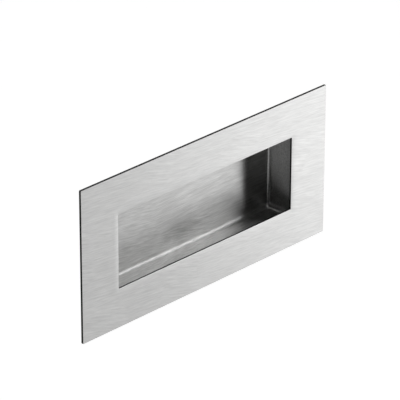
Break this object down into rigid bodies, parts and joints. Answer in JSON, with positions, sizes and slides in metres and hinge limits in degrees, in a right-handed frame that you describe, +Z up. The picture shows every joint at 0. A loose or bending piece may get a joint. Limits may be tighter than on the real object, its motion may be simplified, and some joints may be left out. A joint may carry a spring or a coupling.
{
  "type": "flush pull",
  "caption": "Rectangular flush pull for a sliding pocket door: flat satin steel face plate with a sharp rectangular opening over a pressed finger cup welded behind it.",
  "frame": {"origin": "centre of the opening, in the plane of the face plate's back, which is the plane of the door's face", "axes": "+X along the plate's long side, +Z up, +Y into the door, so the visible face looks along -Y"},
  "size_m": [0.16, 0.0192, 0.08],
  "materials": {
    "face_plate": "satin stainless steel, ground along the long side",
    "recess_cup": "satin stainless steel, ground along the long side inside, dull mill finish outside"
  },
  "bodies": {
    "root": {"face_plate": "face_plate", "recess_cup": "recess_cup"}
  },
  "joints": []
}
